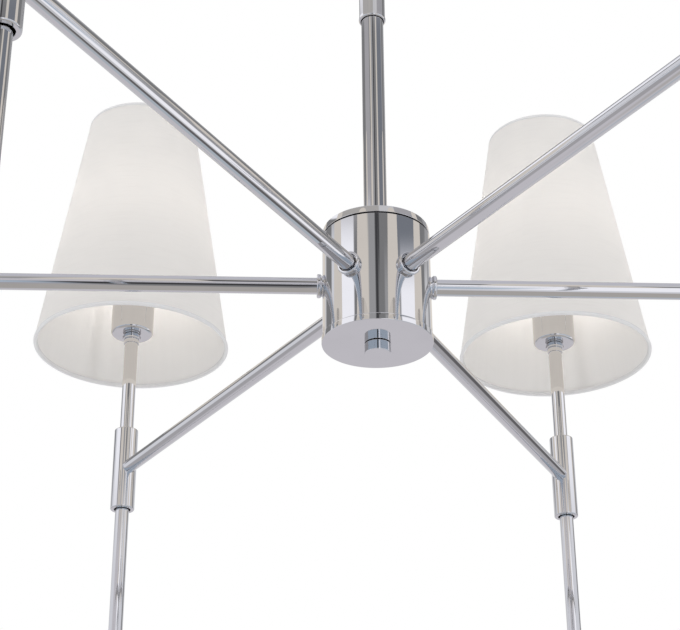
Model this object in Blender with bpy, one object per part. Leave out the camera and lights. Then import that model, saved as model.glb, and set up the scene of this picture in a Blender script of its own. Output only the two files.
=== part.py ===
"""Six-arm chandelier: chromed tubes round a drum hub, with a tapered fabric shade on every arm.

Metres, +Z up. The origin is the middle of the mounting bracket's top face, where the
bracket bears on the ceiling, and the whole lamp hangs below it.
"""

import math

import bmesh
import bpy
from mathutils import Matrix

# ---- driving dimensions -----------------------------------------------------------------
ARM_AZIMUTHS_DEG = (0, 62, 120, 180, 238, 300)     # set by hand, up to 2 degrees off even
HUB_DROP = 0.560            # ceiling to the arms' centre plane
HUB_RADIUS = 0.0325
HUB_HALF = 0.038            # arms' centre plane to the hub's top and bottom faces
ARM_REACH = 0.342           # rod axis to stem axis
ARM_RADIUS = 0.005
STEM_RADIUS = 0.0051
STEM_TIP = -0.205           # lowest point of a stem, from the arms' plane
SLEEVE_RADIUS = 0.0089
SLEEVE_HALF = 0.0318
ROD_RADIUS = 0.0071
JOINER_RADIUS = 0.0087
JOINER_MOUTH = 0.195        # the coupling's open lip, above the arms' plane
JOINER_LENGTH = 0.052
CANOPY_RADIUS = 0.060
CANOPY_HEIGHT = 0.026
CUP_RADIUS = 0.0162
CUP_BOTTOM = 0.1125         # underside of the lamp cup, above the arms' plane
CUP_HEIGHT = 0.030
SHADE_BOTTOM = 0.101
SHADE_TOP = 0.301
SHADE_BOTTOM_RADIUS = 0.075
SHADE_TOP_RADIUS = 0.0435

GAP = 0.0003                # between pieces that touch
SHEET = 0.0012              # thin pressed metal
SHADE_WALL = 0.0016

ROUND = 16                  # facets round a tube
ROUND_FINE = 24             # facets round a cup or a hub
SMOOTH_ANGLE = math.radians(35)


# ---- materials --------------------------------------------------------------------------
def principled(name, colour, roughness, metallic=0.0):
    material = bpy.data.materials.new(name)
    material.use_nodes = True
    shader = material.node_tree.nodes["Principled BSDF"]
    shader.inputs["Base Color"].default_value = (*colour, 1.0)
    shader.inputs["Roughness"].default_value = roughness
    shader.inputs["Metallic"].default_value = metallic
    material.diffuse_color = (*colour, 1.0)
    return material


def make_materials():
    return {
        "chrome": principled("chrome", (0.78, 0.78, 0.79), 0.06, 1.0),
        "steel": principled("zinc_steel", (0.62, 0.62, 0.60), 0.40, 1.0),
        "plastic": principled("white_plastic", (0.88, 0.88, 0.86), 0.35),
        "fabric": principled("white_fabric", (0.93, 0.92, 0.90), 0.90),
        "glass": principled("opal_glass", (0.95, 0.93, 0.88), 0.20),
    }


# ---- modelling helpers ------------------------------------------------------------------
def new_object(name, mesh, material, parent=None):
    mesh.materials.clear()
    mesh.materials.append(material)
    mesh.shade_smooth()
    mesh.set_sharp_from_angle(angle=SMOOTH_ANGLE)
    obj = bpy.data.objects.new(name, mesh)
    bpy.context.scene.collection.objects.link(obj)
    obj.parent = parent
    return obj


def mesh_from(bm, name):
    bmesh.ops.remove_doubles(bm, verts=bm.verts, dist=1e-6)
    bmesh.ops.recalc_face_normals(bm, faces=bm.faces)
    mesh = bpy.data.meshes.new(name)
    bm.to_mesh(mesh)
    bm.free()
    return mesh


def turned(name, outline, steps=ROUND):
    """A solid of revolution about Z. The outline is (radius, height) points; it closes on
    itself, or on the axis where its first and last points have no radius."""
    bm = bmesh.new()
    verts = [bm.verts.new((radius, 0.0, height)) for radius, height in outline]
    on_axis = outline[0][0] == 0.0 and outline[-1][0] == 0.0
    ends = zip(verts, verts[1:]) if on_axis else zip(verts, verts[1:] + verts[:1])
    edges = [bm.edges.new(pair) for pair in ends]
    bmesh.ops.spin(bm, geom=verts + edges, cent=(0, 0, 0), axis=(0, 0, 1),
                   angle=math.tau, steps=steps, use_merge=True)
    return mesh_from(bm, name)


def tube_outline(outer, inner, low, high):
    return [(outer, low), (outer, high), (inner, high), (inner, low)]


def arc(centre, radius, start_deg, end_deg, steps):
    """Points of a round corner in an outline, ends included."""
    points = []
    for i in range(steps + 1):
        angle = math.radians(start_deg + (end_deg - start_deg) * i / steps)
        points.append((centre[0] + radius * math.cos(angle), centre[1] + radius * math.sin(angle)))
    return points


def along_x(mesh):
    """Lays a mesh that was turned about Z down, so that its +Z points along +X."""
    bm = bmesh.new()
    bm.from_mesh(mesh)
    for vert in bm.verts:
        vert.co = (vert.co.z, vert.co.y, -vert.co.x)
    bm.to_mesh(mesh)
    bm.free()
    return mesh


def combine(mesh, operation, *tools):
    """The mesh after one exact Boolean with each tool mesh in turn."""
    body = bpy.data.objects.new("body", mesh)
    bpy.context.scene.collection.objects.link(body)
    helpers = []
    for tool in tools:
        helper = bpy.data.objects.new("tool", tool)
        bpy.context.scene.collection.objects.link(helper)
        helper.hide_render = True
        helper.display_type = "WIRE"
        helpers.append(helper)
        modifier = body.modifiers.new("combine", "BOOLEAN")
        modifier.operation = operation
        modifier.solver = "EXACT"
        modifier.object = helper
    graph = bpy.context.evaluated_depsgraph_get()
    result = bpy.data.meshes.new_from_object(body.evaluated_get(graph))
    for helper in helpers + [body]:
        bpy.data.objects.remove(helper)
    return result


def box(size, centre):
    bm = bmesh.new()
    bmesh.ops.create_cube(bm, size=1.0)
    bmesh.ops.scale(bm, vec=size, verts=bm.verts)
    bmesh.ops.translate(bm, vec=centre, verts=bm.verts)
    return mesh_from(bm, "box")


def rod(radius, low, high, steps=ROUND):
    """A plain solid cylinder about Z."""
    return turned("rod", [(0.0, low), (radius, low), (radius, high), (0.0, high)], steps)


def moved(mesh, x=0.0, y=0.0, z=0.0, turn=0.0):
    mesh.transform(Matrix.Translation((x, y, z)) @ Matrix.Rotation(turn, 4, "Z"))
    return mesh


def empty(name, location, turn=0.0, parent=None):
    frame = bpy.data.objects.new(name, None)
    bpy.context.scene.collection.objects.link(frame)
    frame.location = location
    frame.rotation_euler = (0.0, 0.0, turn)
    frame.parent = parent
    return frame


# ---- ceiling end and drop rod; heights from the ceiling ---------------------------------
STRAP_THICKNESS = 0.0025
ROD_BORE = 0.0050
SPIGOT_RADIUS = ROD_BORE - GAP
CANOPY_CORNER = 0.006


def bracket_mesh():
    """A ceiling strap with two screw slots and the spigot that the rod hangs on."""
    strap = box((0.100, 0.022, STRAP_THICKNESS), (0, 0, -STRAP_THICKNESS / 2))
    strap = combine(strap, "UNION", rod(SPIGOT_RADIUS, -0.020, -STRAP_THICKNESS / 2))
    slots = [box((0.016, 0.005, 0.010), (side * 0.036, 0, 0)) for side in (-1, 1)]
    return combine(strap, "DIFFERENCE", *slots)


def canopy_mesh():
    """A turned cover, open towards the ceiling, with a hole that slides on the rod."""
    centre = (CANOPY_RADIUS - CANOPY_CORNER, CANOPY_CORNER - CANOPY_HEIGHT)
    rim = -0.0005
    hole = ROD_RADIUS + GAP
    outline = [(CANOPY_RADIUS, rim)]
    outline += arc(centre, CANOPY_CORNER, 0, -90, 2)
    outline += [(hole, -CANOPY_HEIGHT), (hole, SHEET - CANOPY_HEIGHT)]
    outline += arc(centre, CANOPY_CORNER - SHEET, -90, 0, 2)
    outline += [(CANOPY_RADIUS - SHEET, rim)]
    return turned("canopy", outline, ROUND_FINE)


def canopy_collar_mesh():
    top = -CANOPY_HEIGHT - GAP
    bore = ROD_RADIUS + GAP
    return turned("canopy_collar", [
        (bore, top), (0.0125, top), (0.0125, top - 0.0085), (0.0110, top - 0.0110),
        (bore, top - 0.0110)])


def upper_rod_mesh():
    foot = JOINER_MOUTH + JOINER_LENGTH / 2 - HUB_DROP + GAP
    return turned("upper_rod", tube_outline(ROD_RADIUS, ROD_BORE, foot, -STRAP_THICKNESS - GAP))


# ---- coupling and hub; heights from the arms' plane -------------------------------------
LID_THICKNESS = 0.0045
SHADOW_GAP = 0.0008
SHELL_BORE = HUB_RADIUS - 0.0022
BASE_HEIGHT = 0.0042
TIE_RADIUS = 0.0040
COLLAR_SPIGOT = 0.0062      # the collar's thin step, which enters the shell
NUT_HEIGHT = 0.006
FINIAL_RADIUS = 0.0078
FINIAL_HEIGHT = 0.0062
FLARE = 0.0005              # the base widens this much towards its underside


def joiner_mesh():
    """A coupling tube over both rods, with a rounded open lip at each end."""
    bore = ROD_RADIUS + GAP
    low = JOINER_MOUTH
    high = JOINER_MOUTH + JOINER_LENGTH
    lip = 0.0008
    return turned("rod_joiner", [
        (bore, low), (JOINER_RADIUS - lip, low), (JOINER_RADIUS, low + lip),
        (JOINER_RADIUS, high - lip), (JOINER_RADIUS - lip, high), (bore, high)])


def lower_rod_mesh():
    head = JOINER_MOUTH + JOINER_LENGTH / 2 - GAP
    return turned("lower_rod", tube_outline(ROD_RADIUS, ROD_BORE, 0.0240, head))


def hub_cap_mesh():
    """The lid: full diameter above, with a locating ring that drops into the shell."""
    top = HUB_HALF
    under = top - LID_THICKNESS
    chamfer = 0.0005
    ring = SHELL_BORE - 2 * GAP
    hole = ROD_RADIUS + GAP
    return turned("hub_cap", [
        (hole, top), (HUB_RADIUS - chamfer, top), (HUB_RADIUS, top - chamfer),
        (HUB_RADIUS, under), (ring, under), (ring, under - 0.0035),
        (ring - 0.0017, under - 0.0035), (ring - 0.0017, under + 0.0010),
        (hole, under + 0.0010)], ROUND_FINE)


def hub_shell_mesh():
    """The drum: a tube between the base and the lid, drilled for each collar."""
    drum = turned("hub_shell", tube_outline(
        HUB_RADIUS, SHELL_BORE, BASE_HEIGHT - HUB_HALF, HUB_HALF - LID_THICKNESS - SHADOW_GAP),
        ROUND_FINE)
    drills = []
    for azimuth in ARM_AZIMUTHS_DEG:
        drill = along_x(rod(COLLAR_SPIGOT + GAP, SHELL_BORE - 0.006, HUB_RADIUS + 0.006, 12))
        drills.append(moved(drill, turn=math.radians(azimuth)))
    return combine(drum, "DIFFERENCE", *drills)


def hub_base_mesh():
    """The base: a shallow dish, a little wider below, with a locating ring in the shell."""
    low = -HUB_HALF
    high = low + BASE_HEIGHT - GAP
    chamfer = 0.0004
    hole = TIE_RADIUS + GAP
    ring = SHELL_BORE - 2 * GAP
    floor = low + 0.0022
    return turned("hub_base", [
        (hole, low), (HUB_RADIUS + FLARE - chamfer, low), (HUB_RADIUS + FLARE, low + chamfer),
        (HUB_RADIUS, high), (ring, high), (ring, high + 0.0030), (ring - 0.0017, high + 0.0030),
        (ring - 0.0017, floor), (hole, floor)], ROUND_FINE)


def hub_nut_mesh():
    """A hexagon nut on the rod's foot, tight under the lid."""
    high = HUB_HALF - LID_THICKNESS + 0.0010 - GAP
    low = high - NUT_HEIGHT
    return combine(rod(0.0125, low, high, 6), "DIFFERENCE",
                   rod(ROD_RADIUS + GAP, low - 0.01, high + 0.01))


def tie_rod_mesh():
    """A hollow stud: its head sits in the rod's bore, its foot holds the finial."""
    bore = 0.0022
    foot = -HUB_HALF - 0.0038
    head = ROD_BORE - GAP
    return turned("tie_rod", [
        (bore, foot), (TIE_RADIUS, foot), (TIE_RADIUS, 0.0225), (head, 0.0225),
        (head, 0.0340), (bore, 0.0340)], 12)


def finial_mesh():
    """A short round knob with a blind hole for the stud."""
    top = -HUB_HALF - GAP
    low = top - FINIAL_HEIGHT
    chamfer = 0.0004
    bore = TIE_RADIUS + GAP
    depth = 0.0042
    return turned("finial", [
        (0.0, low), (FINIAL_RADIUS - chamfer, low), (FINIAL_RADIUS, low + chamfer),
        (FINIAL_RADIUS, top), (bore, top), (bore, top - depth), (0.0, top - depth)])


# ---- arm pieces: X runs out along the arm, heights from the arms' plane ------------------
ARM_BORE = 0.0037
ARM_FACETS = 12
SLEEVE_BORE = STEM_RADIUS + GAP
MOUTH_RADIUS = 0.0070       # the wider mouth at each end of the sleeve
MOUTH_DEPTH = 0.008


def collar_mesh():
    """A thin step that enters the hub, then a rounded bead."""
    bore = ARM_RADIUS + GAP
    start = HUB_RADIUS - 0.0025
    step = HUB_RADIUS + GAP
    bead = 0.0072
    return along_x(turned("collar", [
        (bore, start), (COLLAR_SPIGOT, start), (COLLAR_SPIGOT, step), (bead, step + 0.0004),
        (bead, step + 0.0020), (bead - 0.0008, step + 0.0030), (bore, step + 0.0030)], ARM_FACETS))


def arm_mesh():
    """A straight tube brazed into the middle of an upright sleeve."""
    tube = along_x(rod(ARM_RADIUS, HUB_RADIUS - 0.0095, ARM_REACH, ARM_FACETS))
    edge = 0.0008
    sleeve = turned("sleeve", [
        (0.0, -SLEEVE_HALF), (SLEEVE_RADIUS - edge, -SLEEVE_HALF),
        (SLEEVE_RADIUS, edge - SLEEVE_HALF), (SLEEVE_RADIUS, SLEEVE_HALF - edge),
        (SLEEVE_RADIUS - edge, SLEEVE_HALF), (0.0, SLEEVE_HALF)], ARM_FACETS)
    half_facet = math.pi / ARM_FACETS    # keeps the facets' edges clear of each other
    joined = combine(tube, "UNION", moved(sleeve, x=ARM_REACH, turn=half_facet))
    shoulder = SLEEVE_HALF - MOUTH_DEPTH
    over = SLEEVE_HALF + 0.005
    bore = turned("bore", [
        (0.0, -over), (MOUTH_RADIUS, -over), (MOUTH_RADIUS, -shoulder), (SLEEVE_BORE, -shoulder),
        (SLEEVE_BORE, shoulder), (MOUTH_RADIUS, shoulder), (MOUTH_RADIUS, over), (0.0, over)],
        ARM_FACETS)
    wireway = along_x(rod(ARM_BORE, 0.0, ARM_REACH, ARM_FACETS))
    bore = moved(bore, x=ARM_REACH, turn=half_facet / 2)
    return combine(joined, "DIFFERENCE", bore, wireway)


# ---- lamp pieces: about the stem's axis, heights from the arms' plane --------------------
HOLDER_RADIUS = 0.0138      # outside thread of the lampholder
HOLDER_TOP = 0.170
HOLDER_BORE = 0.0073
CUP_RIM = CUP_BOTTOM + CUP_HEIGHT
FLANGE_TOP = CUP_RIM + GAP + 0.0014
FITTER_TOP = FLANGE_TOP + GAP + 0.0015
THREAD_CLEARANCE = 0.0004
RING_RADIUS = 0.0262
RING_LOBES = 12


def stem_mesh():
    """A rod with a closed tip, a two-step shoulder under the cup and a wireway above."""
    tip = STEM_TIP
    seat = CUP_BOTTOM - GAP
    head = CUP_BOTTOM + 0.009
    bore = 0.0036
    return turned("stem", [
        (0.0, tip), (STEM_RADIUS - 0.0015, tip), (STEM_RADIUS, tip + 0.0015),
        (STEM_RADIUS, seat - 0.0075), (0.0058, seat - 0.0075), (0.0058, seat - 0.0042),
        (0.0071, seat - 0.0042), (0.0071, seat - 0.0012), (0.0062, seat - 0.0012),
        (0.0062, seat), (STEM_RADIUS, seat), (STEM_RADIUS, head), (bore, head),
        (bore, -0.006), (0.0, -0.006)], ARM_FACETS)


def drilled_stem_mesh():
    """The stem, drilled through one wall where the wires come in from the arm."""
    drill = along_x(rod(0.0022, -0.010, 0.0, 8))
    return combine(stem_mesh(), "DIFFERENCE", drill)


def cup_mesh():
    corner = 0.0025
    centre = (CUP_RADIUS - corner, CUP_BOTTOM + corner)
    wall = 0.0010
    hole = STEM_RADIUS + GAP
    outline = [(hole, CUP_BOTTOM)]
    outline += arc(centre, corner, -90, 0, 2)
    outline += [(CUP_RADIUS, CUP_RIM), (CUP_RADIUS - wall, CUP_RIM)]
    outline += [(CUP_RADIUS - wall, CUP_BOTTOM + corner), (CUP_RADIUS - corner, CUP_BOTTOM + wall)]
    outline += [(hole, CUP_BOTTOM + wall)]
    return turned("cup", outline, 18)


def lampholder_mesh():
    """A plastic holder: foot in the cup, flange on its rim, thread and screw socket above."""
    foot = CUP_BOTTOM + 0.0100
    foot_radius = CUP_RADIUS - 0.0025
    flange = 0.0186
    socket = CUP_RIM + 0.005
    return turned("lampholder", [
        (0.0, foot), (foot_radius, foot), (foot_radius, CUP_RIM + GAP), (flange, CUP_RIM + GAP),
        (flange, FLANGE_TOP), (HOLDER_RADIUS, FLANGE_TOP), (HOLDER_RADIUS, HOLDER_TOP),
        (HOLDER_BORE, HOLDER_TOP), (HOLDER_BORE, socket), (0.0, socket)], ARM_FACETS)


def shade_ring_mesh():
    """A ring nut with a wide scalloped flange for the fingers."""
    bore = HOLDER_RADIUS + THREAD_CLEARANCE
    low = FITTER_TOP + GAP
    mesh = turned("shade_ring", [
        (bore, low), (RING_RADIUS, low), (RING_RADIUS, low + 0.0030), (0.0175, low + 0.0040),
        (0.0175, low + 0.0085), (bore, low + 0.0085)], 2 * RING_LOBES)
    valley = 1.0 - 0.0016 / RING_RADIUS
    for vert in mesh.vertices:
        across = math.hypot(vert.co.x, vert.co.y)
        lobe = round(math.atan2(vert.co.y, vert.co.x) / (math.pi / RING_LOBES))
        if across > RING_RADIUS - 0.001 and lobe % 2:
            vert.co.x *= valley
            vert.co.y *= valley
    return mesh


def bulb_mesh():
    """A candle lamp: screw cap with its contact below, glass above."""
    contact = CUP_RIM + 0.0060
    return turned("bulb", [
        (0.0, contact), (0.0030, contact + 0.0004), (0.0068, contact + 0.0024),
        (0.0068, HOLDER_TOP + 0.0003), (0.0100, HOLDER_TOP + 0.0040),
        (0.0155, HOLDER_TOP + 0.0130), (0.0175, HOLDER_TOP + 0.0260),
        (0.0155, HOLDER_TOP + 0.0420), (0.0100, HOLDER_TOP + 0.0600),
        (0.0045, HOLDER_TOP + 0.0730), (0.0, HOLDER_TOP + 0.0765)], ARM_FACETS)


def shade_radius(height):
    share = (height - SHADE_BOTTOM) / (SHADE_TOP - SHADE_BOTTOM)
    return SHADE_BOTTOM_RADIUS + share * (SHADE_TOP_RADIUS - SHADE_BOTTOM_RADIUS)


def shade_mesh():
    """A tapered fabric wall with its wire fitter: a ring on the holder and three spokes."""
    wall = turned("shade", [
        (SHADE_BOTTOM_RADIUS, SHADE_BOTTOM), (SHADE_TOP_RADIUS, SHADE_TOP),
        (SHADE_TOP_RADIUS - SHADE_WALL, SHADE_TOP),
        (SHADE_BOTTOM_RADIUS - SHADE_WALL, SHADE_BOTTOM)], ROUND_FINE)
    low = FLANGE_TOP + GAP
    bore = HOLDER_RADIUS + THREAD_CLEARANCE
    ring = turned("fitter", tube_outline(0.0182, bore, low, FITTER_TOP))
    reach = shade_radius(FITTER_TOP) - SHADE_WALL / 2
    start = 0.0170
    spokes = []
    for i in range(3):
        bar = box((reach - start, 0.0022, 0.0011), ((reach + start) / 2, 0, (low + FITTER_TOP) / 2))
        spokes.append(moved(bar, turn=math.tau * i / 3))
    return combine(wall, "UNION", ring, *spokes)


# ---- assembly ---------------------------------------------------------------------------
def build_centre(materials, hub):
    chrome, steel = materials["chrome"], materials["steel"]
    new_object("mounting_bracket", bracket_mesh(), steel)
    new_object("canopy", canopy_mesh(), chrome)
    new_object("canopy_collar", canopy_collar_mesh(), chrome)
    new_object("upper_rod", upper_rod_mesh(), chrome)
    new_object("rod_joiner", joiner_mesh(), chrome, hub)
    new_object("lower_rod", lower_rod_mesh(), chrome, hub)
    new_object("hub_cap", hub_cap_mesh(), chrome, hub)
    new_object("hub_shell", hub_shell_mesh(), chrome, hub)
    new_object("hub_base", hub_base_mesh(), chrome, hub)
    new_object("hub_nut", hub_nut_mesh(), steel, hub)
    new_object("tie_rod", tie_rod_mesh(), steel, hub)
    new_object("finial", finial_mesh(), chrome, hub)


def build_arms(materials, hub):
    """Each piece's mesh is made once and shared by the six copies."""
    on_arm = {
        "collar": (collar_mesh(), materials["chrome"]),
        "arm": (arm_mesh(), materials["chrome"]),
    }
    on_stem = {
        "stem": (drilled_stem_mesh(), materials["chrome"]),
        "cup": (cup_mesh(), materials["chrome"]),
        "lampholder": (lampholder_mesh(), materials["plastic"]),
        "shade_ring": (shade_ring_mesh(), materials["plastic"]),
        "bulb": (bulb_mesh(), materials["glass"]),
        "shade": (shade_mesh(), materials["fabric"]),
    }
    for number, azimuth in enumerate(ARM_AZIMUTHS_DEG, start=1):
        arm_axis = empty(f"arm_axis_{number}", (0, 0, 0), math.radians(azimuth), hub)
        lamp_axis = empty(f"lamp_axis_{number}", (ARM_REACH, 0, 0), 0.0, arm_axis)
        for pieces, parent in ((on_arm, arm_axis), (on_stem, lamp_axis)):
            for piece, (mesh, material) in pieces.items():
                new_object(f"{piece}_{number}", mesh, material, parent)


def main():
    for obj in list(bpy.data.objects):
        bpy.data.objects.remove(obj, do_unlink=True)
    hub = empty("hub_axis", (0, 0, -HUB_DROP))
    materials = make_materials()
    build_centre(materials, hub)
    build_arms(materials, hub)


main()
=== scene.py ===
"""Finished look of a six-arm chandelier: polished chrome metalwork and white tapered shades."""

import math

import bmesh
import bpy
from bpy.props import FloatProperty, FloatVectorProperty, PointerProperty
from mathutils import Matrix, Vector


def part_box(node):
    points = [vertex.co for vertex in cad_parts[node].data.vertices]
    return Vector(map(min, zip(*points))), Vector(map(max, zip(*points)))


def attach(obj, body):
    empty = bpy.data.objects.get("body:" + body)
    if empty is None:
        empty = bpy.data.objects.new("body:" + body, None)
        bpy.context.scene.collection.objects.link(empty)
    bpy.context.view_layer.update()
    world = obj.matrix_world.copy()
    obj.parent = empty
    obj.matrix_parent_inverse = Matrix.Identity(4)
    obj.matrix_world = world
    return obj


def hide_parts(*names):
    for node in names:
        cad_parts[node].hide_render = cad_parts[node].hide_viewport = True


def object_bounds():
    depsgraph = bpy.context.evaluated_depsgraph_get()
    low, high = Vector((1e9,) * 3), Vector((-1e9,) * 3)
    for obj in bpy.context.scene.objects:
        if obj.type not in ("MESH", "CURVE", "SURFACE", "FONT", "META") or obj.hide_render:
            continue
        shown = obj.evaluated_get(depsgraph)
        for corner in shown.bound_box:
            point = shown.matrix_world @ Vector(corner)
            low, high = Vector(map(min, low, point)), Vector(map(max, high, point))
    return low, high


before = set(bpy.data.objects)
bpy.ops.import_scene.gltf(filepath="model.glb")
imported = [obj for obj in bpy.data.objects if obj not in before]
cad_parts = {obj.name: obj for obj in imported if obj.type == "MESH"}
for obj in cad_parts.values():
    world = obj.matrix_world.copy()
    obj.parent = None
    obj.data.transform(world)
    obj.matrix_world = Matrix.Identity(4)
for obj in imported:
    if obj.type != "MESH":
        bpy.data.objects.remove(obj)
CAD_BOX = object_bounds()

bl_info = {
    "name": "Six-arm Chandelier",
    "version": (1, 0, 0),
    "blender": (4, 5, 0),
    "location": "3D View > Sidebar > Chandelier",
    "description": "Builds the finished metalwork, shades and lamps of a six-arm chandelier",
    "category": "Object",
}

WELD = 1e-6                     # points nearer than this are one point
SHARP_ANGLE = math.radians(32)
ARMS = range(1, 7)
STUD_BORE = 0.0043              # radius of the hole for the stud that holds base and knob
LOCATING_WALL = 0.0017          # thickness of the rings that centre the lid and the base
BULB_GAP = 0.0003               # air between the bulb's glass and the lampholder's mouth
FITTER_RADIUS = 0.0182          # outside radius of the flat ring of a shade's fitter
SHADE_FOOT_RADIUS, SHADE_HEAD_RADIUS = 0.0750, 0.0435
SHADE_INSET = 0.0003            # how far the cloth lies inside the shade's widest outline
SHADE_LAYER = 0.0006            # thickness of the cloth, and of the lining


# ---- places, read from the frame ----
def low(node):
    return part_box(node)[0].z


def high(node):
    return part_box(node)[1].z


def middle(node):
    lowest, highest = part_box(node)
    return (lowest + highest) / 2


def half_width(node):
    lowest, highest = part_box(node)
    return (highest.x - lowest.x) / 2


def outside(node):
    """A turned node's radius, with its lowest and highest points."""
    return half_width(node), low(node), high(node)


def above_arms(node):
    """A node's lowest and highest points, measured up from the arms' own height."""
    return low(node) - ARM_PLANE, high(node) - ARM_PLANE


ARM_PLANE = middle("arm_1").z
LAMPS = {n: middle(f"stem_{n}") for n in ARMS}
ARM_REACH = LAMPS[1].xy.length
AZIMUTHS = {n: math.atan2(lamp.y, lamp.x) for n, lamp in LAMPS.items()}
HUB_RADIUS = half_width("hub_shell")
ROD_RADIUS = half_width("lower_rod")


def length(name, default, description):
    """A size in metres that the sidebar shows with its unit."""
    return FloatProperty(name=name, description=description, default=default, min=0.0,
                         precision=5, subtype="DISTANCE", unit="LENGTH")


def tint(name, default, description):
    return FloatVectorProperty(name=name, description=description, default=default, size=3,
                               min=0.0, max=1.0, subtype="COLOR")


def angle(name, degrees, description):
    return FloatProperty(name=name, description=description, default=math.radians(degrees),
                         subtype="ANGLE", unit="ROTATION")


class ChandelierSizes(bpy.types.PropertyGroup):
    fit: length("Fit", 0.0003, "Clearance between two pieces that slide into each other")
    sheet: length("Sheet metal", 0.0012, "Thickness of the pressed canopy")
    edge: length("Edge radius", 0.0004, "Small round on a turned edge")
    canopy_corner: length("Canopy corner", 0.006, "Radius of the canopy's lower corner")
    lid: length("Lid band", 0.0045, "Height of the lid above the shadow line")
    shadow_line: length("Shadow line", 0.0002, "How far the drum's rim is eased back from the lid")
    hub_wall: length("Drum wall", 0.0022, "Thickness of the drum's wall")
    arm_radius: length("Arm radius", 0.0050, "Outside radius of an arm's tube")
    stem_radius: length("Stem radius", 0.0051, "Outside radius of a lamp's stem")
    sleeve_radius: length("Sleeve radius", 0.0089, "Outside radius of the sleeve on a stem")
    collar_bead: length("Collar bead", 0.0072, "Outside radius of the bead at an arm's root")
    cup_corner: length("Cup corner", 0.0025, "Radius of a lamp cup's lower corner")
    holder_radius: length("Lampholder radius", 0.0138, "Outside radius of the lampholder's thread")
    glass_radius: length("Bulb radius", 0.0175, "Widest radius of a candle bulb")
    shade_wall: length("Shade wall", 0.0016, "Fabric and lining together")
    rim_height: length("Rim tape", 0.0030, "Height of the rolled tape on a shade's edge")


class ChandelierFinishes(bpy.types.PropertyGroup):
    chrome: tint("Chrome", (0.68, 0.68, 0.695), "Colour of the polished chrome")
    zinc: tint("Zinc", (0.55, 0.56, 0.58), "Colour of the hidden zinc-plated steel")
    plastic: tint("Plastic", (0.86, 0.86, 0.85), "Colour of lampholders and ring nuts")
    fabric: tint("Fabric", (0.905, 0.895, 0.885), "Colour of the shade's outer cloth")
    lining: tint("Lining", (0.96, 0.96, 0.96), "Colour of the shade's inner face")
    tape: tint("Rim tape", (0.71, 0.71, 0.725), "Colour of the tape rolled over a shade's edge")
    glow: tint("Glow", (1.0, 0.93, 0.86), "Colour of the bulb's light")
    glow_strength: FloatProperty(name="Glow strength", default=7.5, min=0.0,
                                 description="Brightness of the bulb's glass")
    # Painted reflection: the tone a shade glows with, seen only in polished metal.
    mirrored: tint("Mirrored shade", (0.86, 0.80, 0.73), "A lit shade's tone in polished metal")
    # Painted shade: the near-black of the lid's locating ring, which darkens the gap under the lid.
    gap_shade_tone: tint("Black oxide", (0.0125, 0.012, 0.012), "Darkest tone of the lid's locating ring")
    floor: tint("Floor", (0.93, 0.925, 0.92), "Colour of the pale floor")
    thread_pitch: length("Thread pitch", 0.0006, "Distance between threads of the shade's cloth")


class StudioSettings(bpy.types.PropertyGroup):
    camera_place: FloatVectorProperty(
        name="Camera place", description="Where the camera stands, under the chandelier",
        default=(-0.0621, -0.8989, -1.0401), size=3, subtype="TRANSLATION", unit="LENGTH")
    camera_rise: angle("Camera rise", 26.965, "How far the camera looks up")
    camera_yaw: angle("Camera yaw", 2.575, "How far the camera looks to the right of straight on")
    camera_roll: angle("Camera roll", -0.347, "How far the camera leans")
    focal_length: FloatProperty(name="Focal length", default=90.4, min=1.0, unit="CAMERA",
                                description="Focal length on a 36 mm wide sensor")
    shift: FloatVectorProperty(name="Shift", description="Framing, in widths of the view",
                               default=(-0.001, 0.0072), size=2)
    floor_drop: length("Floor drop", 0.55, "Floor below the chandelier's lowest point")
    floor_size: length("Floor size", 60.0, "Side of the square floor")


# ---- meshes ----
def arc(centre, radius, start, end, steps):
    """Points on an arc in the profile's plane; the angles are in degrees from outwards."""
    turns = [math.radians(start + (end - start) * i / steps) for i in range(steps + 1)]
    return [(centre[0] + radius * math.cos(t), centre[1] + radius * math.sin(t)) for t in turns]


def spun(outline, steps=64, ring=True):
    """A profile of (radius, height) points turned round Z; a ring's profile is closed."""
    mesh = bmesh.new()
    points = [mesh.verts.new((radius, 0.0, height)) for radius, height in outline]
    edges = [mesh.edges.new(pair) for pair in zip(points, points[1:])]
    if ring:
        edges.append(mesh.edges.new((points[-1], points[0])))
    bmesh.ops.spin(mesh, geom=points + edges, cent=(0, 0, 0), axis=(0, 0, 1), dvec=(0, 0, 0),
                   angle=math.tau, steps=steps, use_merge=True, use_duplicate=False)
    bmesh.ops.remove_doubles(mesh, verts=mesh.verts, dist=WELD)
    bmesh.ops.recalc_face_normals(mesh, faces=mesh.faces)
    return mesh


def softened(mesh, width, segments=2):
    """Rounds every edge that turns sharply."""
    sharp = [e for e in mesh.edges if e.is_manifold and e.calc_face_angle() > SHARP_ANGLE]
    bmesh.ops.bevel(mesh, geom=sharp, offset=width, offset_type="OFFSET", affect="EDGES",
                    segments=segments, profile=0.5, material=-1, clamp_overlap=True)
    return mesh


def unwrapped(mesh, girth):
    """UV in metres: U runs round the axis, V along it, or outwards on a flat end."""
    layer = mesh.loops.layers.uv.new("UVMap")
    for face in mesh.faces:
        centre = face.calc_center_median()
        facing = math.atan2(centre.y, centre.x)
        flat = abs(face.normal.z) > 0.9
        for loop in face.loops:
            point = loop.vert.co
            across = math.hypot(point.x, point.y)
            turn = math.atan2(point.y, point.x) if across > WELD else facing
            turn += math.tau * round((facing - turn) / math.tau)
            loop[layer].uv = (turn * girth, across if flat else point.z)
    return mesh


def turned(outline, edge=0.0, girth=0.01, steps=64, ring=True):
    mesh = spun(outline, steps, ring)
    if edge:
        softened(mesh, edge)
    return unwrapped(mesh, girth)


def tube(radius, bore, bottom, top):
    return [(radius, bottom), (radius, top), (bore, top), (bore, bottom)]


def moved(mesh, matrix):
    bmesh.ops.transform(mesh, matrix=matrix, verts=mesh.verts)
    return mesh


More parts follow.
